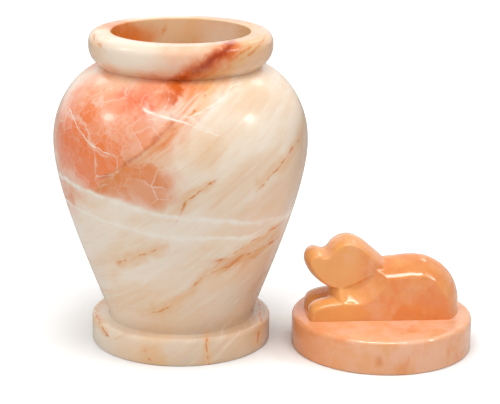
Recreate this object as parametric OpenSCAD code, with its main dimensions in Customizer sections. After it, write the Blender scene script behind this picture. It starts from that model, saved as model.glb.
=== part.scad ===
// Carved onyx cremation urn for a dog's ashes: a lathe-turned vessel, with its lid
// standing beside it and a recumbent dog bonded to the lid. Millimetres, +Z up,
// origin at the centre of the vessel's underside, lid towards +X.

/* [Vessel] */
// Height of the vessel, underside to rim
vessel_h = 208; // [190:1:230]
// Largest diameter of the vessel, at the belly
belly_d = 166; // [156:1:176]
// Height of the belly's largest diameter above the underside
belly_z = 137; // [130:1:142]
// Diameter of the groove where the collar meets the shoulder
neck_d = 105; // [101:1:110]
// Diameter of the vessel's flank where it meets the foot
waist_d = 95; // [88:1:100]

/* [Collar] */
// Largest diameter of the collar
collar_d = 119; // [114:1:124]
// Diameter of the straight mouth through the collar
mouth_d = 90; // [80:1:92]
// Height of the collar above the neck groove
collar_h = 22; // [19:1:24]

/* [Foot] */
// Diameter of the foot
foot_d = 119; // [110:1:126]
// Height of the foot
foot_h = 18; // [14:1:22]

/* [Hollow] */
// Wall thickness of the flank and shoulder
wall = 10; // [8:0.5:12]
// Thickness of the vessel's floor
floor_t = 20; // [16:1:26]

/* [Lid] */
// Diameter of the lid's disc
lid_d = 119; // [112:1:124]
// Thickness of the lid's disc
lid_t = 22.5; // [16:0.5:26]
// Place of the lid's centre along X
lid_x = 132.5; // [130:0.5:150]
// Place of the lid's centre along Y
lid_y = -22; // [-30:0.5:0]

/* [Dog] */
// Length of the dog from nose to rump
dog_l = 104; // [90:1:108]
// Width of the dog across its flanks
dog_w = 40; // [34:1:44]
// Width of the dog's head
head_w = 26; // [22:1:28]

/* [Hidden] */
onyx_cream = [0.91, 0.82, 0.70];
onyx_peach = [0.93, 0.66, 0.48];
onyx_amber = [0.92, 0.61, 0.38];
arc_steps = 12;
neck_z = vessel_h - collar_h;
curve_steps = 22;
edge_r = 3;          // rounding on the upper edges of the foot and the lid
base_r = 1.5;        // easing on the lower edges
dog_design_l = 104;  // length at which the dog's outlines below are drawn
dog_k = dog_l / dog_design_l;

// ---- curves ----

// Points of an elliptical arc about c, from angle a0 to a1, without the last one
function arc(c, rx, ry, a0, a1, n) =
    [for (i = [0:n - 1]) let (a = a0 + (a1 - a0) * i / n) [c[0] + rx * cos(a), c[1] + ry * sin(a)]];

// Points of a cubic Bezier curve, without the last one
function bezier(a, b, c, d, n) =
    [for (i = [0:n - 1]) let (t = i / n, u = 1 - t)
        u * u * u * a + 3 * u * u * t * b + 3 * u * t * t * c + t * t * t * d];

function spline_point(a, b, c, d, t) =
    0.5 * (2 * b + (c - a) * t + (2 * a - 5 * b + 4 * c - d) * t * t + (3 * b - a - 3 * c + d) * t * t * t);

// A closed smooth curve through a few points
function smooth_loop(p, steps) =
    let (n = len(p))
    [for (i = [0:n - 1], s = [0:steps - 1])
        spline_point(p[(i + n - 1) % n], p[i], p[(i + 1) % n], p[(i + 2) % n], s / steps)];

// A closed curve moved inwards by d along its own normals; the curve runs clockwise in XZ
function inset_loop(p, d) =
    let (n = len(p))
    [for (i = [0:n - 1])
        let (t = p[(i + 1) % n] - p[(i + n - 1) % n])
        p[i] + d / norm(t) * [t[1], -t[0]]];

// ---- vessel ----

// Half-profile of the vessel's flank and shoulder, thinned inwards by t
function body_curve(t) =
    let (r = belly_d / 2 - t,
         c = 37,                                   // radius at which the shoulder's ellipse is centred
         rise = (neck_z - belly_z) / 0.941 - t,
         end = acos((neck_d / 2 - c) / (belly_d / 2 - c)))
    concat(
        bezier([waist_d / 2 - t, foot_h], [waist_d / 2 + 13 - t, foot_h + 34],
               [r, belly_z - 31], [r, belly_z], curve_steps),
        arc([c, belly_z], r - c, rise, 0, end, curve_steps));

module collar_profile() {
    top_round = [6, 7];
    side_r = collar_d / 2;
    polygon(concat(
        [[neck_d / 2, neck_z]],
        bezier([neck_d / 2, neck_z], [neck_d / 2 + 3, neck_z + 3.5],
               [side_r, neck_z + 5.5], [side_r, neck_z + 13], arc_steps),
        arc([side_r - top_round[0], vessel_h - top_round[1]], top_round[0], top_round[1], 0, 90, arc_steps),
        [[side_r - top_round[0], vessel_h], [mouth_d / 2 - 5, vessel_h], [mouth_d / 2 - 5, neck_z]]));
}

module foot_profile(d, h) {
    r = d / 2;
    polygon(concat(
        [[0, 0]],
        arc([r - base_r, base_r], base_r, base_r, -90, 0, 6),
        arc([r - edge_r, h - edge_r], edge_r, edge_r, 0, 90, arc_steps),
        [[r - edge_r, h], [0, h]]));
}

module hollow_profile() {
    mouth_r = mouth_d / 2;
    lip = 1;                                       // easing of the mouth's inner edge
    inner = body_curve(wall);
    belly = [for (p = inner) if (p[1] > floor_t + 16 && (p[0] > mouth_r || p[1] < belly_z)) p];
    shoulder_z = belly[len(belly) - 1][1];
    bowl_r = belly[0][0];
    polygon(concat(
        [[0, floor_t]],
        bezier([bowl_r - 16, floor_t], [bowl_r - 7, floor_t], [bowl_r - 2.5, floor_t + 6], belly[0], arc_steps),
        belly,
        [[mouth_r, shoulder_z + 1.5], [mouth_r, vessel_h - lip]],
        [for (i = [1:6]) let (a = 15 * i) [mouth_r + lip * (1 - cos(a)), vessel_h - lip + lip * sin(a)]],
        [[mouth_r + lip, vessel_h + 1], [0, vessel_h + 1]]));
}

module vessel() {
    color(onyx_cream)
    difference() {
        rotate_extrude($fn = 128) {
            union() {
                polygon(concat([[0, foot_h - 1]], [[waist_d / 2, foot_h - 1]], body_curve(0),
                               [[neck_d / 2, neck_z], [neck_d / 2, neck_z + 1], [0, neck_z + 1]]));
                collar_profile();
                foot_profile(foot_d, foot_h);
            }
        }
        rotate_extrude($fn = 128) hollow_profile();
    }
}

// ---- lid ----

module lid() {
    color(onyx_peach)
    translate([lid_x, lid_y, 0])
    rotate_extrude($fn = 128) foot_profile(lid_d, lid_t);
}

// ---- dog ----

// A slab carved to a side outline. Across its width the outline is inset by a gentle crown
// and then by a tighter rounding at the flat side faces.
module slab(outline, half_w, crown, edge, rings, steps) {
    loop = smooth_loop(outline, steps);
    n = len(loop);
    m = 2 * rings + 1;
    pts = [for (k = [-rings:rings])
              let (a = 90 * k / rings, u = sin(a),
                   d = crown * pow(abs(u), 1.5) + edge * (1 - cos(a) * sqrt(1 + u * u)))
              each [for (p = inset_loop(loop, d)) [p[0], half_w * u, p[1]]]];
    walls = [for (k = [0:m - 2], i = [0:n - 1]) let (j = (i + 1) % n)
                each [[k * n + i, (k + 1) * n + j, k * n + j], [k * n + i, (k + 1) * n + i, (k + 1) * n + j]]];
    caps = [[for (i = [0:n - 1]) i], [for (i = [0:n - 1]) m * n - 1 - i]];
    polyhedron(points = pts, faces = concat(walls, caps), convexity = 6);
}

// Outlines are clockwise in XZ, nose towards -X, and run below z = 0, where the dog is cut flat
head_outline = [[-53, 37.5], [-51.2, 43], [-46.3, 45.2], [-40.8, 43.8], [-38.2, 44.9], [-35, 49], [-29, 52.6],
                [-22, 53.2], [-14.5, 49.6], [-8.5, 44.6], [-3, 39.8], [1.8, 34.6], [1.4, 29.2], [-4.5, 26.6],
                [-14, 23], [-21, 19.4], [-29, 17.2], [-37, 18.8], [-44.5, 23.6], [-50, 30]];
body_outline = [[-19, 15], [-11, 26], [-4.5, 34], [1.8, 37], [9, 38.2], [18, 39.2], [28, 38], [37.5, 33.2], [44.5, 26],
                [49, 17], [50.7, 6], [49, -8], [30, -22], [0, -22], [-14, -10]];
leg_outline = [[-50.8, 4], [-49.2, 8.6], [-43.5, 11.8], [-34, 14], [-22, 16], [-10, 18], [2, 18], [8, 6],
               [2, -9], [-24, -12], [-45, -11], [-50.4, -4]];

// Slanted facets from under the ears down to the flanks, as wedges between stations.
// Each station has the facet's outer edge and its inner edge, as [x, y, z].
neck_stations = [[[-24, 17, 11.5], [-36, 9, 18]], [[-17, 17.3, 14.5], [-28, 10, 21.5]],
                 [[-10.8, 17.5, 18], [-21, 10.5, 26.5]], [[-6, 17.5, 22.5], [-14.5, 11, 32]],
                 [[-2.5, 16.8, 27.5], [-8, 11.5, 36.5]], [[1.5, 14.8, 31.2], [-1.5, 12, 34.5]]];

module neck_wedge(a, b, side) {
    ease = 0.8;
    hull() {
        for (s = [a, b]) {
            translate([s[0][0], side * s[0][1], s[0][2]]) sphere(ease, $fn = 8);
            translate([s[1][0], side * s[1][1], s[1][2]]) sphere(ease, $fn = 8);
            translate([s[1][0], 0, s[1][2] + 2]) sphere(ease, $fn = 8);
            translate([s[0][0] + 4, 0, s[0][2] - 6]) sphere(ease, $fn = 8);
            translate([s[0][0] + 2, side * (s[0][1] - 2), s[0][2] - 6]) sphere(ease, $fn = 8);
        }
    }
}

module neck() {
    for (side = [-1, 1], i = [0:len(neck_stations) - 2]) neck_wedge(neck_stations[i], neck_stations[i + 1], side);
}

module dog() {
    leg_w = (dog_w - 1.6) / 4;                     // half-width of a foreleg
    color(onyx_amber)
    translate([lid_x, lid_y + 1, lid_t])
    scale(dog_k)
    intersection() {
        union() {
            slab(body_outline, dog_w / 2, 7.5, 3.5, 9, 4);
            slab(head_outline, head_w / 2, 2.2, 1.3, 7, 4);
            for (side = [-1, 1]) translate([0, side * (dog_w / 2 - leg_w), 0]) slab(leg_outline, leg_w, 2, 2.5, 6, 4);
            neck();
        }
        translate([-60, -30, 0]) cube([120, 60, 60]);
    }
}

vessel();
lid();
dog();
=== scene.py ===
"""A cremation urn for a dog, turned and carved from banded onyx: the hollow vessel, and beside it
the lid with its recumbent dog. Metres, +Z up, the vessel's underside at the origin."""

import math

import bmesh
import bpy
from mathutils import Matrix, Vector


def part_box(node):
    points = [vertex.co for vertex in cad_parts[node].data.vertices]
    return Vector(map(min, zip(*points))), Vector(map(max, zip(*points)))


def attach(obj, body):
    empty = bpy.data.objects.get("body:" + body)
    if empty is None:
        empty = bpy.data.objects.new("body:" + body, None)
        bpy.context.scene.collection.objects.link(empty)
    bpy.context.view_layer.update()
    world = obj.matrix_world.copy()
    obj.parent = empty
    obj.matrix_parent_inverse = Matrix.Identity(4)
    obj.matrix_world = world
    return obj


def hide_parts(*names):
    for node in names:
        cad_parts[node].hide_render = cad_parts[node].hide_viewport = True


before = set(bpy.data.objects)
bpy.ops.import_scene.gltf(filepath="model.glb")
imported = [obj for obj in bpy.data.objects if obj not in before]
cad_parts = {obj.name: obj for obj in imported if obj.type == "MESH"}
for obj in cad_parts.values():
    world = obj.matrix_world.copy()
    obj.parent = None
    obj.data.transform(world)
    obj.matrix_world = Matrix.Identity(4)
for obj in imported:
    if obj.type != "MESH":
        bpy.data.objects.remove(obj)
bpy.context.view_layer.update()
MM = 0.001


# ---------------------------------------------------------------- studio
# A small product studio: a pale table that runs on out of sight, a small soft box at each side of
# the urn and behind each shoulder, broad ones overhead and in front, and a camera about a metre
# away, above the rim.

eye = Vector((-39.3, -1094.9, 408.7)) * MM
look_down = math.radians(16.06)
look_right = math.radians(4.44)
lean = math.radians(0.62)
lens_mm = 124.2

camera = bpy.data.objects.new("camera", bpy.data.cameras.new("camera"))
bpy.context.scene.collection.objects.link(camera)
camera.data.sensor_width = 36
camera.data.lens = lens_mm
camera.data.clip_start = 0.01
camera.matrix_world = (
    Matrix.Translation(eye)
    @ Matrix.Rotation(-look_right, 4, "Z")
    @ Matrix.Rotation(math.radians(90) - look_down, 4, "X")
    @ Matrix.Rotation(lean, 4, "Z")
)
bpy.context.scene.camera = camera
bpy.context.scene.view_settings.view_transform = "Standard"


def soft_box(name, place, target, width, height, power):
    """A rectangular soft light at place, facing target."""
    lamp = bpy.data.lights.new(name, "AREA")
    lamp.shape = "RECTANGLE"
    lamp.size = width
    lamp.size_y = height
    lamp.energy = power
    box = bpy.data.objects.new(name, lamp)
    box.location = place
    box.rotation_euler = (Vector(target) - Vector(place)).to_track_quat("-Z", "Y").to_euler()
    bpy.context.scene.collection.objects.link(box)
    return box


middle = (0.04, 0, 0.1)
soft_box("left_box", (-0.85, -0.16, 0.68), (-0.04, -0.05, 0.165), 0.13, 0.13, 1.2)
soft_box("right_box", (0.83, -0.28, 0.69), (0.04, -0.06, 0.165), 0.13, 0.13, 1.2)
soft_box("left_rim", (-0.50, 0.66, 0.75), (-0.04, 0, 0.17), 0.16, 0.16, 0.35)
soft_box("right_rim", (0.56, 0.60, 0.80), (0.05, 0, 0.15), 0.16, 0.16, 0.35)
for fill in (
    soft_box("overhead", (0.05, -0.32, 1.15), middle, 0.9, 0.5, 7.5),
    soft_box("front_fill", (-0.30, -1.3, 1.2), middle, 0.8, 0.8, 4.4),
):
    fill.visible_glossy = False
# panels that only the polished lid and dog mirror, for the bright lines on their ridges
glints = bpy.data.collections.new("glints")
for panel in (
    soft_box("over_panel", (0.10, -0.32, 1.15), (0.132, -0.03, 0.04), 0.9, 0.4, 15),
    soft_box("right_panel", (0.80, -0.22, 0.80), (0.132, -0.03, 0.04), 0.4, 0.4, 1.5),
):
    panel.visible_diffuse = False
    panel.light_linking.receiver_collection = glints


class Socket:
    """One output of a node. Adding, multiplying and so on make Math nodes."""

    def __init__(self, tree, output):
        self.tree = tree
        self.output = output

    def node(self, kind, settings=None, inputs=None, take=0):
        """Add a node of this kind, set it up, feed its inputs and give back one of its outputs."""
        made = self.tree.nodes.new("ShaderNode" + kind)
        for name, value in (settings or {}).items():
            setattr(made, name, value)
        for name, value in (inputs or {}).items():
            if isinstance(value, Socket):
                self.tree.links.new(value.output, made.inputs[name])
            else:
                made.inputs[name].default_value = value
        return Socket(self.tree, made.outputs[take])

    def math(self, operation, first, second=0.0):
        return self.node("Math", {"operation": operation}, {0: first, 1: second})

    def __add__(self, other):
        return self.math("ADD", self, other)

    def __radd__(self, other):
        return self.math("ADD", other, self)

    def __sub__(self, other):
        return self.math("SUBTRACT", self, other)

    def __rsub__(self, other):
        return self.math("SUBTRACT", other, self)

    def __mul__(self, other):
        return self.math("MULTIPLY", self, other)

    def __rmul__(self, other):
        return self.math("MULTIPLY", other, self)

    def __pow__(self, other):
        return self.math("POWER", self, other)

    def root(self):
        return self.math("SQRT", self)

    def __abs__(self):
        return self.math("ABSOLUTE", self)

    def top(self, other):
        """The larger of the two."""
        return self.math("MAXIMUM", self, other)

    def fade(self, start, end):
        """0 at start, 1 at end, and smooth between them."""
        return self.node(
            "MapRange",
            {"interpolation_type": "SMOOTHSTEP"},
            {"Value": self, "From Min": start, "From Max": end},
        )

    def noise(self, size, detail=2.0, rough=0.5, take=0):
        """Noise of this grain size, in the units of this vector: a value, or with take=1 a colour."""
        inputs = {"Vector": self, "Scale": 1 / size, "Detail": detail, "Roughness": rough}
        return self.node("TexNoise", {"noise_dimensions": "3D"}, inputs, take)

    def cells(self, size, feature="F1", take=1):
        """Cells of about this size: a random colour each, or with DISTANCE_TO_EDGE and take=0, how
        far in from the edge."""
        return self.node("TexVoronoi", {"feature": feature}, {"Vector": self, "Scale": 1 / size}, take)

    def stirred(self, size, reach, detail=2.0):
        """This vector pushed about by noise of this grain size, by up to about reach each way."""
        push = self.noise(size, detail, take=1)
        even = self.node("VectorMath", {"operation": "SUBTRACT"}, {0: push, 1: (0.5, 0.5, 0.5)})
        scaled = self.node("VectorMath", {"operation": "SCALE"}, {0: even, "Scale": reach * 4})
        return self.node("VectorMath", {"operation": "ADD"}, {0: self, 1: scaled})

    def parts(self):
        """The x, y and z of this vector."""
        return [self.node("SeparateXYZ", {}, {0: self}, axis) for axis in range(3)]

    def tinted(self, colour, amount):
        """This colour with the other laid over it, by amount."""
        if not isinstance(colour, Socket):
            colour = (*colour, 1)
        return self.node("Mix", {"data_type": "RGBA"}, {"Factor": amount, 6: self, 7: colour}, 2)

    def blend(self, first, second):
        """The first colour where this is 0 and the second where it is 1."""
        return self.node(
            "Mix", {"data_type": "RGBA"}, {"Factor": self, 6: (*first, 1), 7: (*second, 1)}, 2
        )

    def length(self):
        """The length of this vector."""
        return self.node("VectorMath", {"operation": "LENGTH"}, {0: self}, 1)


def linear(red, green, blue):
    """A colour as the eye judges it, from 0 to 255, as light."""
    return tuple(
        (c / 255 / 12.92) if c <= 10 else ((c / 255 + 0.055) / 1.055) ** 2.4
        for c in (red, green, blue)
    )


def new_material(name):
    """A material, its nodes and its shader, and the place on the stone in millimetres."""
    material = bpy.data.materials.new(name)
    material.use_nodes = True
    tree = material.node_tree
    shader = tree.nodes["Principled BSDF"]
    metres = Socket(tree, tree.nodes.new("ShaderNodeTexCoord").outputs["Object"])
    place = metres.node("VectorMath", {"operation": "SCALE"}, {0: metres, "Scale": 1 / MM})
    return material, tree, shader, place


table_side = 8.0
table_mesh = bpy.data.meshes.new("table")
bm = bmesh.new()
bmesh.ops.create_grid(bm, x_segments=1, y_segments=1, size=table_side / 2)
bm.to_mesh(table_mesh)
bm.free()
table = bpy.data.objects.new("table", table_mesh)
bpy.context.scene.collection.objects.link(table)

paper, paper_tree, paper_shader, paper_place = new_material("white_paper")
paper_shader.inputs["Base Color"].default_value = (0.80, 0.80, 0.80, 1)
paper_shader.inputs["Roughness"].default_value = 0.9
paper_shader.inputs["Specular IOR Level"].default_value = 0.0
# seen by the camera the paper also glows, so that it ends white; the glow is dimmed where the stone
# stands close, a painted contact shadow
far_out = paper_place.length().fade(200, 900)
open_sky = paper_place.node("AmbientOcclusion", {"samples": 8}, {"Distance": 0.06}, 1)
glow_strength = 0.45 * open_sky**1.5 + far_out * 0.3
glow = paper_place.node("Emission", {}, {"Color": (1, 1, 1, 1), "Strength": glow_strength})
seen = paper_place.node("LightPath", take="Is Camera Ray")
lit = Socket(paper_tree, paper_shader.outputs["BSDF"])
both = paper_place.node("AddShader", {}, {0: lit, 1: glow})
chosen = paper_place.node("MixShader", {}, {0: seen, 1: lit, 2: both})
paper_tree.links.new(chosen.output, paper_tree.nodes["Material Output"].inputs["Surface"])
table_mesh.materials.append(paper)

world = bpy.data.worlds.new("studio")
bpy.context.scene.world = world
world.use_nodes = True
air = world.node_tree.nodes["Background"]
air.inputs["Color"].default_value = (1.0, 0.985, 0.97, 1)
# in the stone's polish the half of the room behind the urn is brighter
gaze = Socket(world.node_tree, world.node_tree.nodes.new("ShaderNodeTexCoord").outputs["Generated"])
behind = gaze.parts()[1].fade(0.2, 0.8)
mirrored = gaze.node("LightPath", take="Is Glossy Ray")
world.node_tree.links.new((0.32 + mirrored * behind * 0.8).output, air.inputs["Strength"])


# ---------------------------------------------------------------- vessel
# The urn's body, turned on a lathe from one block of banded onyx and bored out through the mouth:
# a thick rolled collar, a high round shoulder, a flank that draws in, and a disc foot. Polished
# all over outside and fine-ground inside.

_, vessel_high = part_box("vessel")
vessel_h = vessel_high.z
belly_r = vessel_high.x
belly_z = 137 * MM
neck_r = 52.5 * MM
neck_z = vessel_h - 22 * MM
waist_r = 47.5 * MM
collar_r = 59.5 * MM
mouth_r = 45 * MM
foot_r = 59.5 * MM
foot_h = 18 * MM
wall = 10 * MM
floor_t = 20 * MM
shoulder_centre = 37 * MM  # radius at which the shoulder's ellipse is centred
groove_share = 0.941  # share of the ellipse's height at which the neck groove cuts it
lathe_steps = 192


def arc(centre, rx, ry, start, end, steps):
    """Points of an elliptical arc, angles in degrees, without the last one."""
    angles = [math.radians(start + (end - start) * i / steps) for i in range(steps)]
    return [(centre[0] + rx * math.cos(a), centre[1] + ry * math.sin(a)) for a in angles]


def bezier(a, b, c, d, steps):
    """Points of a cubic Bezier curve, without the last one."""
    points = []
    for i in range(steps):
        t = i / steps
        weights = ((1 - t) ** 3, 3 * (1 - t) ** 2 * t, 3 * (1 - t) * t * t, t**3)
        points.append(tuple(sum(w * p[k] for w, p in zip(weights, (a, b, c, d))) for k in (0, 1)))
    return points


def flank_and_shoulder(inset, steps):
    """The vessel's side from the foot to the neck, moved inwards by inset."""
    widest = belly_r - inset
    rise = (neck_z - belly_z) / groove_share - inset
    last = math.degrees(math.acos((neck_r - shoulder_centre) / (belly_r - shoulder_centre)))
    return bezier(
        (waist_r - inset, foot_h), (waist_r + 13 * MM - inset, foot_h + 34 * MM),
        (widest, belly_z - 31 * MM), (widest, belly_z), steps,
    ) + arc((shoulder_centre, belly_z), widest - shoulder_centre, rise, 0, last, steps)


def disc_side(radius, height):
    """The side of a turned disc from its flat underside up to its top, with both edges rounded."""
    ease, turn = 1.5 * MM, 3 * MM
    under = [(0, 0), (radius - 12 * MM, 0)]
    lower = arc((radius - ease, ease), ease, ease, -90, 0, 6)
    upper = arc((radius - turn, height - turn), turn, turn, 0, 90, 10)
    return under + lower + upper + [(radius - turn, height)]


def turned(name, profile, steps, centre=(0, 0)):
    """A closed solid turned from a half-profile that starts and ends on the axis."""
    bm = bmesh.new()
    corners = [bm.verts.new((x, 0, z)) for x, z in profile]
    edges = [bm.edges.new(pair) for pair in zip(corners, corners[1:])]
    bmesh.ops.spin(
        bm, geom=corners + edges, cent=(0, 0, 0), axis=(0, 0, 1), dvec=(0, 0, 0),
        angle=math.tau, steps=steps, use_merge=True,
    )
    bmesh.ops.remove_doubles(bm, verts=bm.verts, dist=0.001 * MM)
    bmesh.ops.recalc_face_normals(bm, faces=bm.faces)
    bmesh.ops.translate(bm, verts=bm.verts, vec=(*centre, 0))
    return finished(name, bm)


crease = math.radians(35)


def finished(name, bm):
    """Make the bmesh an object, smooth but for its creases."""
    for face in bm.faces:
        face.smooth = True
    for edge in bm.edges:
        edge.smooth = edge.calc_face_angle(0) < crease
    mesh = bpy.data.meshes.new(name)
    bm.to_mesh(mesh)
    bm.free()
    piece = bpy.data.objects.new(name, mesh)
    bpy.context.scene.collection.objects.link(piece)
    return piece


collar_top = (6 * MM, 7 * MM)
groove_r = 1.2 * MM
outside = (
    disc_side(foot_r, foot_h)
    + [(waist_r + groove_r, foot_h)]
    + flank_and_shoulder(0, 48)[1:]
    + bezier((neck_r, neck_z), (neck_r + 3 * MM, neck_z + 3.5 * MM),
             (collar_r, neck_z + 5.5 * MM), (collar_r, neck_z + 13 * MM), 24)
    + arc((collar_r - collar_top[0], vessel_h - collar_top[1]), *collar_top, 0, 90, 16)
    + [(collar_r - collar_top[0], vessel_h)]
)
lip = 1 * MM
bowl_top = floor_t + 16 * MM
inside = [
    p for p in flank_and_shoulder(wall, 36)
    if p[1] > bowl_top and (p[0] > mouth_r or p[1] < belly_z)
]
bowl_r = inside[0][0]
bowl = bezier(
    (bowl_r - 16 * MM, floor_t), (bowl_r - 7 * MM, floor_t),
    (bowl_r - 2.5 * MM, floor_t + 6 * MM), inside[0], 12,
)
hollow = (
    [(mouth_r + lip, vessel_h)]
    + arc((mouth_r + lip, vessel_h - lip), lip, lip, 90, 180, 5)[1:]
    + [(mouth_r, vessel_h - lip), (mouth_r, inside[-1][1] + 1.5 * MM)]
    + inside[::-1] + bowl[::-1] + [(0, floor_t)]
)
vessel = turned("vessel_onyx", outside + hollow, lathe_steps)
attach(vessel, "root")
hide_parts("vessel")

ivory = linear(251, 234, 215)
cream = linear(245, 215, 183)
beige = linear(208, 170, 132)
honey = linear(240, 190, 134)
orange = linear(228, 128, 34)
flame = linear(236, 118, 16)
rust = linear(204, 80, 6)
deep_red = linear(168, 48, 4)
salmon = linear(250, 134, 70)
coral = linear(242, 92, 34)
tan = linear(236, 126, 34)
blush = linear(250, 192, 156)
milk = linear(255, 244, 230)


def offset(x, z, start, end):
    """How far (x, z) lies above the line from start to end, in millimetres."""
    run, rise = end[0] - start[0], end[1] - start[1]
    length = math.hypot(run, rise)
    return (z - start[1]) * (run / length) - (x - start[0]) * (rise / length)


def vein(x, z, start, end, width, bow=0.0, tail=0.12, uneven=None):
    """A sheet of mineral that runs front to back through the stone, seen as a line from start to end.

    Places are (x, z) in millimetres; bow lifts the middle of the line off the straight, and
    uneven, from 0 to 1 over the stone, thins it."""
    run, rise = end[0] - start[0], end[1] - start[1]
    length = math.hypot(run, rise)
    along = (x - start[0]) * (run / length**2) + (z - start[1]) * (rise / length**2)
    across = offset(x, z, start, end)
    if bow:
        across = across - along * (1 - along) * (4 * bow)
    across = abs(across)
    if uneven:
        across = across + uneven * width
    return across.fade(width, 0) * along.fade(-tail, tail) * along.fade(1 + tail, 1 - tail)


def patch(x, y, z, centre, reach, soft=0.5):
    """A body of colour about centre, in the stone or painted shade and glow: 1 inside, fading out at
    reach.
    """
    axes = [(value - at) * (1 / size) for value, at, size in zip((x, y, z), centre, reach)]
    distance = (axes[0] * axes[0] + axes[1] * axes[1] + axes[2] * axes[2]).root()
    return distance.fade(1, 1 - soft)


vessel_stone, tree, shader, place = new_material("banded_onyx")
calm_x, _, calm_z = place.stirred(30, 1.2, 3).stirred(4, 0.35, 3).parts()
x, y, z = place.stirred(40, 2.5).stirred(6, 0.8, 5).parts()
wild_x, wild_y, wild_z = place.stirred(26, 6, 3).stirred(7, 1.8, 5).parts()
grain = place.stirred(10, 2, 4).noise(10, 6, 0.6)
thin = place.noise(9, 3, 0.6).fade(0.38, 0.66)

# the block broke and healed many times: cells of slightly different tint with hairlines between
broken = place.stirred(14, 2.5, 4)
cell_tint = broken.cells(15).parts()[0]
small_tint = broken.cells(6).parts()[1]
hairline = broken.cells(15, "DISTANCE_TO_EDGE", 0).fade(0.035, 0.0)
small_hairline = broken.cells(6.5, "DISTANCE_TO_EDGE", 0).fade(0.06, 0.0)

# bedding: soft bands that dip to the left, from ivory to beige
dip = math.radians(40)
raw_x, raw_y, raw_z = place.parts()
along_bed = raw_x * math.cos(dip) + raw_z * math.sin(dip)
across_bed = raw_z * math.cos(dip) - raw_x * math.sin(dip)
bedding = place.node("CombineXYZ", {}, {"X": along_bed, "Y": raw_y, "Z": across_bed * 3})
streaky = place.node("CombineXYZ", {}, {"X": along_bed, "Y": raw_y, "Z": across_bed * 9})
bands = bedding.stirred(60, 8).noise(60, 4, 0.5)
streaks = streaky.stirred(40, 5, 3).noise(36, 4, 0.6)
colour = bands.fade(0.38, 0.62).blend(cream, ivory)
# beige laid on more towards the bottom and the right: painted shade, broken up by the bedding bands
low = (raw_x * 0.0055 - raw_z * 0.0055 + 0.46 + (bands - 0.5) * 0.9).fade(0.0, 1.0)
colour = colour.tinted(beige, low * 0.85)
colour = colour.tinted(honey, streaks.fade(0.54, 0.72) * 0.4)
colour = colour.tinted(milk, streaks.fade(0.46, 0.30) * 0.35)
collar_right = offset(raw_x, raw_z, (-10, 200), (80, 190)).fade(-12, 4) * raw_x.fade(-5, 45)
colour = colour.tinted(tan, collar_right * 0.3)
colour = colour.tinted(blush, patch(wild_x, wild_y, wild_z, (-2, -56, 202), (30, 30, 14), 0.9) * 0.8)

fine = place.noise(2.2, 4, 0.7)
colour = colour.tinted(milk, fine.fade(0.55, 0.8) * 0.15)

# the salmon cloud under the left shoulder, with a coral heart and a tan skirt below the rust line
cloud_side = offset(wild_x, wild_z, (-2, 190), (-9, 162)).fade(3, -3)
above_line = offset(wild_x, wild_z, (-60, 122), (-8, 164)).fade(-1.5, 1.5)
cloud = patch(wild_x, wild_y, wild_z, (-50, -46, 148), (60, 62, 50), 0.55) * cloud_side * above_line
heart = patch(wild_x, wild_y, wild_z, (-22, -58, 176), (30, 34, 20), 0.9) * cloud_side
skirt = patch(wild_x, wild_y, wild_z, (-34, -64, 127), (46, 40, 22), 0.45) * (1 - above_line)
skirt = skirt * offset(calm_x, calm_z, (-92, 121.5), (78, 91)).fade(-3, 5)
apron = vein(wild_x, wild_z, (26, 196), (-30, 134), 17, -3)
apron = apron * patch(raw_x, raw_y, raw_z, (0, -64, 165), (60, 40, 45))
colour = colour.tinted(tan, apron * (0.3 + streaks.fade(0.4, 0.62) * 0.5))
colour = colour.tinted(salmon, cloud * (0.62 + cell_tint * 0.28 + small_tint * 0.14))
colour = colour.tinted(coral, heart * (0.3 + grain.fade(0.3, 0.6) * 0.35 + small_tint * 0.2))
colour = colour.tinted(coral, cloud * raw_x.fade(-50, -85) * 0.35)
colour = colour.tinted(tan, skirt * (0.72 + cell_tint * 0.15))
left_edge = patch(wild_x, wild_y, wild_z, (-78, -20, 110), (34, 44, 22), 0.7)
colour = colour.tinted(tan, left_edge * (0.5 + grain.fade(0.3, 0.6) * 0.4))

# rust veins along the cloud's edge and over the collar
edge_line = vein(x, z, (-2, 190), (-9, 162), 2.6, 0, 0.12, thin).top(
    vein(x, z, (-8, 164), (-58, 123), 2.2, 1, 0.12, thin)
)
colour = colour.tinted(orange, vein(wild_x, wild_z, (-4, 166), (-56, 122), 6, -1) * 0.4)
colour = colour.tinted(rust, edge_line * 0.45)
glaze = vein(wild_x, wild_z, (46, 217), (0, 183), 13, 0, 0.1)
colour = colour.tinted(orange, glaze * (0.25 + streaks * 0.5))
colour = colour.tinted(blush, vein(wild_x, wild_z, (24, 213), (0, 196), 5) * 0.6)
in_front = raw_y.fade(-8, -26)
collar_vein = vein(wild_x, wild_z, (34, 208), (-14, 179), 13, 0, 0.12, thin * 0.3)
colour = colour.tinted(flame, collar_vein * in_front * 0.8)
collar_vein = vein(calm_x, calm_z, (31, 208), (-12, 179), 8, 0, 0.12, thin * 0.4)
colour = colour.tinted(rust, collar_vein * in_front * 0.95)
collar_vein = vein(calm_x, calm_z, (31, 209), (0, 187), 3.8, 0, 0.12, thin * 0.5)
colour = colour.tinted(deep_red, collar_vein * in_front * 0.75)
colour = colour.tinted(rust, vein(wild_x, wild_z, (0, 190), (-10, 172), 5, 0, 0.12, thin) * 0.6)

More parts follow.
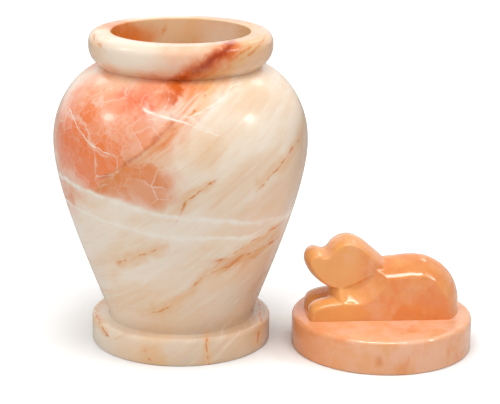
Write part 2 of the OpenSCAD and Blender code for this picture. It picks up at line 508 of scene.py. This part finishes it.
# finer orange veins, each in a honey-coloured halo
lines = [
    ((-14, 86), (-42, 67), 1.6, 0), ((64, 80), (12, 61), 1.6, 0), ((14, 62), (-24, 31), 1.4, 1),
    ((62, 90), (20, 72), 1.2, 0), ((76, 147), (47, 121), 1.6, 0), ((18, 130), (0, 118), 1.4, 0),
    ((1, 119), (-7, 103), 1.3, 0), ((52, 207), (14, 187), 1.8, 0), ((46, 208), (8, 186), 1.4, 0),
    ((20, 187), (0, 165), 1.5, 0), ((-58, 208), (-44, 196), 1.8, 0), ((16, 20), (15, -2), 1.2, 0),
    ((-26, 10), (-20, -2), 3.0, 0), ((54, 20), (50, 6), 1.6, 0), ((-58, 19), (-50, 12), 2.0, 0),
]
for start, end, width, bow in lines:
    halo = vein(wild_x, wild_z, start, end, width * 4, bow)
    colour = colour.tinted(honey, halo * 0.6)
    colour = colour.tinted(orange, vein(x, z, start, end, width, bow, 0.12, thin) * 0.9)

# broader tints: a smudge on the flank, painted shade on the right side, warm and pale places on the
# sides and the collar
smudge = patch(wild_x, wild_y, wild_z, (33, -58, 70), (24, 30, 9), 0.9)
colour = colour.tinted(orange, smudge * (0.2 + streaks.fade(0.4, 0.65) * 0.6))
colour = colour.tinted(honey, patch(wild_x, wild_y, wild_z, (10, -70, 149), (24, 30, 18), 1) * 0.6)
# beige at the right edge: painted shade where the side turns away from the lamps
colour = colour.tinted(beige, patch(raw_x, raw_y, raw_z, (84, -20, 125), (32, 60, 70), 0.95) * 0.9)
colour = colour.tinted(ivory, patch(wild_x, wild_y, wild_z, (-36, -44, 201), (36, 34, 14), 0.7) * 0.9)
colour = colour.tinted(tan, patch(wild_x, wild_y, wild_z, (-12, -52, 188), (36, 26, 9), 0.9) * 0.4)
colour = colour.tinted(honey, patch(wild_x, wild_y, wild_z, (54, -26, 197), (24, 40, 16), 0.9) * 0.55)

# inside the mouth, painted glow of light shining through the thin stone: honey all round, flame on the
# left, ivory on the right
from_axis = place.node("VectorMath", {"operation": "MULTIPLY"}, {0: place, 1: (1, 1, 0)}).length()
inner_wall_glow = from_axis.fade(48, 46) * raw_z.fade(160, 180)
colour = colour.tinted(honey, inner_wall_glow * 0.75)
colour = colour.tinted(flame, patch(wild_x, wild_y, wild_z, (-40, 22, 192), (40, 38, 26), 0.6) * 0.95)
pale = patch(wild_x, wild_y, wild_z, (34, 34, 196), (30, 34, 24), 0.9)
colour = colour.tinted(ivory, pale * inner_wall_glow * 0.6)
spot = vein(x, z, (-9, 204), (-14, 190), 3, 0, 0.3, thin)
colour = colour.tinted(flame, spot * raw_y.fade(10, 30) * 0.6)

# milky healed cracks: two long ones round the belly, short ones on the shoulder
cracks = [
    ((-92, 121.5), (78, 91), 3.4, 0), ((-88, 102), (44, 86), 3.2, 0), ((34, 86), (72, 96), 1.6, 0),
    ((-26, 173), (2, 165), 1.6, 0), ((-2, 167), (20, 157), 0.7, 0), ((35, 182), (4, 169), 0.8, 0),
    ((-70, 163), (-46, 145), 0.7, -3),
]
for start, end, width, bow in cracks:
    colour = colour.tinted(milk, vein(wild_x, wild_z, start, end, width * 3, bow) * 0.35)
    colour = colour.tinted(milk, vein(x, z, start, end, width, bow, 0.05, thin * 0.4))
some = place.noise(24, 2).fade(0.42, 0.6)
in_cloud = cloud.top(heart).top(skirt)
colour = colour.tinted(milk, hairline * (0.08 + in_cloud * 0.36) * some)
colour = colour.tinted(milk, small_hairline * in_cloud * (1 - some) * 0.22)


def polished(shader, colour, constants):
    """Give the shader its colour, and its other sockets their constants."""
    colour.tree.links.new(colour.output, shader.inputs["Base Color"])
    for name, value in constants.items():
        shader.inputs[name].default_value = value


polished(shader, colour, {
    "Roughness": 0.27, "IOR": 1.5, "Coat Weight": 0.15, "Coat Roughness": 0.06,
    "Subsurface Weight": 0.12, "Subsurface Radius": (1.0, 0.55, 0.3), "Subsurface Scale": 0.006,
})
vessel.data.materials.append(vessel_stone)


# ---------------------------------------------------------------- lid
# The lid's disc, turned from a warmer peach-coloured slab of the same stone, flat on both faces
# with its top edge rounded over and its lower edge eased.

lid_low, lid_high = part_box("lid")
lid_r = (lid_high.x - lid_low.x) / 2
lid_centre = ((lid_high.x + lid_low.x) / 2, (lid_high.y + lid_low.y) / 2)
lid_t = lid_high.z
lid = turned("lid_onyx", disc_side(lid_r, lid_t) + [(0, lid_t)], lathe_steps, lid_centre)
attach(lid, "root")
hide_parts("lid")
glints.objects.link(lid)

peach = linear(246, 178, 126)
amber = linear(244, 140, 58)

lid_stone, tree, shader, place = new_material("peach_onyx")
disc_place = place.node(
    "Mapping", {}, {"Vector": place, "Location": tuple(-c / MM for c in lid_centre) + (0,)}
)
mottle = disc_place.stirred(18, 6, 3).noise(22, 5, 0.6)
colour = mottle.fade(0.35, 0.65).blend(peach, blush)
clouds = disc_place.stirred(14, 6, 3).noise(30, 4, 0.6)
colour = colour.tinted(amber, clouds.fade(0.52, 0.72) * 0.55)
disc_x, disc_y, disc_z = disc_place.stirred(12, 2, 4).parts()
colour = colour.tinted(amber, disc_x.fade(-20, -58) * 0.45)
colour = colour.tinted(blush, patch(disc_x, disc_y, disc_z, (26, -54, 6), (12, 16, 14), 0.15) * 0.5)
colour = colour.tinted(orange, patch(disc_x, disc_y, disc_z, (-10, -58, 9), (5, 8, 6), 0.9) * 0.5)
colour = colour.tinted(milk, disc_place.noise(2.2, 4, 0.7).fade(0.55, 0.8) * 0.2)
polished(shader, colour, {
    "Roughness": 0.14, "IOR": 1.52,
    "Subsurface Weight": 0.15, "Subsurface Radius": (1.0, 0.5, 0.25), "Subsurface Scale": 0.008,
})
lid.data.materials.append(lid_stone)


# ---------------------------------------------------------------- dog
# The dog that lies on the lid, looking up at the urn: slab-cut from amber onyx, with flat cheeks,
# crowned back and plain paws, then polished. Its flat underside is bonded to the disc.

dog_low, dog_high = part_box("dog")
drawn_length = 104.09  # length of the outlines below, which are in millimetres
drawn_rump = 50.7  # how far they reach towards +X
dog_scale = (dog_high.x - dog_low.x) / MM / drawn_length
dog_half_w = 20
head_half_w = 13
leg_half_w = 9.6
scoop = (-22, 33)  # middle of the neck's scoop, in XZ
scoop_inner = 13.5  # its radius at the cheeks
scoop_outer = 22.5  # its radius at the flanks
scoop_floor = head_half_w - 0.8  # half the neck's width in the scoop, just under the cheeks
dog_x = dog_high.x / MM - drawn_rump * dog_scale
dog_y = (dog_high.y + dog_low.y) / 2 / MM
dog_z = dog_low.z / MM


def smooth_loop(points, steps):
    """A closed smooth curve through a few points."""
    loop = []
    count = len(points)
    for i in range(count):
        a, b, c, d = (points[(i + k) % count] for k in (-1, 0, 1, 2))
        for s in range(steps):
            t = s / steps
            loop.append(tuple(
                0.5 * (2 * b[k] + (c[k] - a[k]) * t
                       + (2 * a[k] - 5 * b[k] + 4 * c[k] - d[k]) * t * t
                       + (3 * b[k] - a[k] - 3 * c[k] + d[k]) * t**3)
                for k in (0, 1)
            ))
    return loop


def slab(bm, outline, middle_y, half_w, crown, edge, rings=12, steps=8):
    """A slab carved to a side outline, crowned across its width and rounded at its flat sides."""
    loop = smooth_loop(outline, steps)
    count = len(loop)
    normals = []
    for i in range(count):
        ahead, behind = loop[(i + 1) % count], loop[i - 1]
        run, rise = ahead[0] - behind[0], ahead[1] - behind[1]
        size = math.hypot(run, rise)
        normals.append((rise / size, -run / size))

    def station(k):
        turn = math.radians(90 * k / rings)
        u = math.sin(turn)
        inset = crown * abs(u) ** 1.5 + edge * (1 - math.cos(turn) * math.sqrt(1 + u * u))
        y = middle_y + half_w * u
        return [(p[0] + n[0] * inset, y, p[1] + n[1] * inset) for p, n in zip(loop, normals)]

    ring = [bm.verts.new(p) for p in station(-rings)]
    edges = [bm.edges.new((ring[i - 1], ring[i])) for i in range(count)]
    bmesh.ops.contextual_create(bm, geom=edges)
    for k in range(1 - rings, rings + 1):
        made = bmesh.ops.extrude_edge_only(bm, edges=edges)["geom"]
        copies = {v.co.copy().freeze(): v for v in made if isinstance(v, bmesh.types.BMVert)}
        ring = [copies[old.co.copy().freeze()] for old in ring]
        for vert, at in zip(ring, station(k)):
            vert.co = at
        edges = [bm.edges.get((ring[i - 1], ring[i])) for i in range(count)]
    bmesh.ops.contextual_create(bm, geom=edges)


def melted(name, bm):
    """Run all that is in the bmesh together into one stone, as an object with an even fine mesh."""
    bmesh.ops.recalc_face_normals(bm, faces=bm.faces)
    piece = finished(name, bm)
    melt = piece.modifiers.new("one_stone", "REMESH")
    melt.mode = "VOXEL"
    melt.voxel_size = 0.5
    ready = piece.evaluated_get(bpy.context.evaluated_depsgraph_get())
    mesh = bpy.data.meshes.new_from_object(ready)
    piece.modifiers.clear()
    piece.data = mesh
    return piece


# side outlines in XZ, nose towards -X; the body and the legs run below z = 0, where the dog is cut flat
head_outline = [
    (-53, 37.5), (-51.2, 43), (-46.3, 45.2), (-40.8, 43.8), (-38.2, 44.9), (-35, 49), (-29, 52.6),
    (-22, 53.2), (-14.5, 49.6), (-8.5, 44.6), (-3, 39.8), (1.2, 35.4), (2.2, 30.8), (-1.6, 27.6),
    (-8, 25.8), (-14, 23), (-21, 19.4), (-29, 17.2), (-37, 18.8), (-44.5, 23.6), (-50, 30),
]
body_outline = [
    (-37.5, 11), (-35.5, 20), (-28.5, 28), (-19, 33.5), (-9.5, 36.8), (0, 37.6), (9, 38.4),
    (18, 39.2), (28, 38), (37.5, 33.2), (44.5, 26), (49, 17), (50.7, 6), (49, -10), (34, -26),
    (6, -30), (-20, -26), (-34, -8),
]
leg_outline = [
    (-50.8, 4), (-49.2, 8.6), (-43.5, 11.8), (-34, 13.6), (-24, 14.4), (-17, 12.6), (-11, 8),
    (-8, 0), (-12, -9), (-24, -12), (-45, -11), (-50.4, -4),
]

# the trunk, its flanks pressed in round the head
bm = bmesh.new()
slab(bm, body_outline, 0, dog_half_w, 7.5, 2.4)
trunk = melted("dog_trunk", bm)
bm = bmesh.new()
bm.from_mesh(trunk.data)
bpy.data.objects.remove(trunk)
for vert in bm.verts:
    from_middle = math.hypot(vert.co.x - scoop[0], vert.co.z - scoop[1])
    out = (from_middle - scoop_inner) / (scoop_outer - scoop_inner)
    cut = scoop_floor + (dog_half_w - scoop_floor) * max(0, out) ** 1.1
    vert.co.y = max(-cut, min(cut, vert.co.y))

# the head and the forelegs join it, and the whole is smoothed, cut flat and set in its place
slab(bm, head_outline, 0, head_half_w, 2.6, 0.9)
for side in (-1, 1):
    slab(bm, leg_outline, side * (dog_half_w - leg_half_w), leg_half_w, 1.8, 1.4)
dog = melted("dog_onyx", bm)

bm = bmesh.new()
bm.from_mesh(dog.data)
for turn in range(4):
    bmesh.ops.smooth_vert(
        bm, verts=bm.verts, factor=0.5, use_axis_x=True, use_axis_y=True, use_axis_z=True
    )
bmesh.ops.bisect_plane(
    bm, geom=bm.verts[:] + bm.edges[:] + bm.faces[:],
    plane_co=(0, 0, 0), plane_no=(0, 0, -1), clear_outer=True,
)
bmesh.ops.holes_fill(bm, edges=[e for e in bm.edges if e.is_boundary], sides=0)
for face in bm.faces:
    face.smooth = True
bmesh.ops.scale(bm, verts=bm.verts, vec=(dog_scale * MM,) * 3)
bmesh.ops.translate(bm, verts=bm.verts, vec=(dog_x * MM, dog_y * MM, dog_z * MM))
bm.to_mesh(dog.data)
bm.free()
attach(dog, "root")
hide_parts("dog")
glints.objects.link(dog)

apricot = linear(246, 170, 104)
dog_amber = linear(242, 150, 84)
dog_honey = linear(250, 182, 104)

dog_stone, tree, shader, place = new_material("amber_onyx")
mottle = place.stirred(12, 4, 3).noise(16, 5, 0.6)
colour = mottle.fade(0.35, 0.65).blend(dog_amber, apricot)
colour = colour.tinted(dog_honey, place.parts()[0].fade(dog_x - 8, dog_x - 26) * 0.6)
colour = colour.tinted(blush, place.stirred(10, 3, 4).noise(20, 4, 0.6).fade(0.5, 0.7) * 0.6)
colour = colour.tinted(orange, place.stirred(6, 2, 4).noise(9, 3, 0.6).fade(0.62, 0.76) * 0.45)
colour = colour.tinted(milk, place.noise(2.0, 4, 0.7).fade(0.55, 0.8) * 0.15)
polished(shader, colour, {
    "Roughness": 0.12, "IOR": 1.52,
    "Subsurface Weight": 0.15, "Subsurface Radius": (1.0, 0.5, 0.22), "Subsurface Scale": 0.008,
})
dog.data.materials.append(dog_stone)
